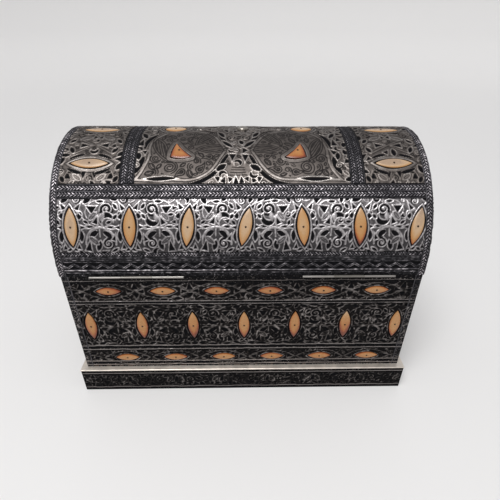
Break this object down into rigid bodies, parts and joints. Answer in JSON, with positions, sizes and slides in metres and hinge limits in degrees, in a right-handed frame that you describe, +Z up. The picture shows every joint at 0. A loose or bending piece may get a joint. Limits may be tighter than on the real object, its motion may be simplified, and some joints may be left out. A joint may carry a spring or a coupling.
{
  "type": "domed dowry chest",
  "caption": "Domed wooden dowry chest clad in embossed nickel sheet with almond bone inlays, a hinged barrel lid, a front hasp and drop handles on a stepped plinth.",
  "frame": {"origin": "on the floor under the middle of the box", "axes": "+Z up, the front faces -Y, the hinges are at +Y, +X is to the right seen from the front"},
  "size_m": [0.547, 0.325, 0.4091],
  "materials": {
    "cedar": "oiled cedar",
    "bright_nickel": "embossed nickel silver, blackened in its grounds",
    "dull_nickel": "embossed nickel silver, dulled",
    "dark_nickel": "embossed nickel silver, tarnished dark",
    "polished_nickel": "worn polished nickel silver",
    "steel": "plain steel",
    "bone": "dyed camel bone, satin"
  },
  "bodies": {
    "chest": {"back_board": "cedar", "back_bones": "bone", "back_sheet": "dark_nickel", "body_hinge_screws": "steel", "bottom_board": "cedar", "corner_strips": "dark_nickel", "front_board": "cedar", "front_bones": "bone", "front_sheet": "dark_nickel", "hinge_pins": "steel", "ledge_strips": "polished_nickel", "left_board": "cedar", "left_bones": "bone", "left_handle_eyes": "polished_nickel", "left_hinge_body_leaf": "steel", "left_sheet": "dark_nickel", "plinth_back_rail": "cedar", "plinth_front_rail": "cedar", "plinth_left_rail": "cedar", "plinth_right_rail": "cedar", "plinth_sheets": "dark_nickel", "right_board": "cedar", "right_bones": "bone", "right_handle_eyes": "polished_nickel", "right_hinge_body_leaf": "steel", "right_sheet": "dark_nickel", "staple": "polished_nickel", "staple_plate": "polished_nickel"},
    "lid": {"crown_boss": "dull_nickel", "hasp_pin": "steel", "hasp_plate": "polished_nickel", "left_hinge_lid_leaf": "steel", "lid_back_band": "bright_nickel", "lid_back_bones": "bone", "lid_back_rail": "cedar", "lid_back_rim": "bright_nickel", "lid_centre_bones": "bone", "lid_centre_panel": "dull_nickel", "lid_cross_strips": "bright_nickel", "lid_edge_bindings": "bright_nickel", "lid_end_bones": "bone", "lid_front_band": "bright_nickel", "lid_front_bones": "bone", "lid_front_rail": "cedar", "lid_front_rim": "bright_nickel", "lid_hinge_screws": "steel", "lid_left_board": "cedar", "lid_left_end": "dull_nickel", "lid_left_panel": "dull_nickel", "lid_long_strips": "bright_nickel", "lid_panel_bones": "bone", "lid_right_board": "cedar", "lid_right_end": "dull_nickel", "lid_right_panel": "dull_nickel", "lid_staves": "cedar", "right_hinge_lid_leaf": "steel"},
    "hasp": {"hasp_strap": "polished_nickel"},
    "right_handle": {"right_bail": "polished_nickel"},
    "left_handle": {"left_bail": "polished_nickel"}
  },
  "joints": [
    {"name": "lid_hinge", "type": "hinge", "parent": "chest", "child": "lid", "pos_m": [0, 0.156, 0.23525], "axis": [-1, 0, 0], "range_deg": [0, 105]},
    {"name": "hasp_hinge", "type": "hinge", "parent": "lid", "child": "hasp", "pos_m": [0, -0.1557, 0.2424], "axis": [1, 0, 0], "range_deg": [0, 184]},
    {"name": "right_handle_swing", "type": "hinge", "parent": "chest", "child": "right_handle", "pos_m": [0.2682, 0, 0.1711], "axis": [0, -1, 0], "range_deg": [0, 170]},
    {"name": "left_handle_swing", "type": "hinge", "parent": "chest", "child": "left_handle", "pos_m": [-0.2682, 0, 0.1711], "axis": [0, 1, 0], "range_deg": [0, 170]}
  ]
}
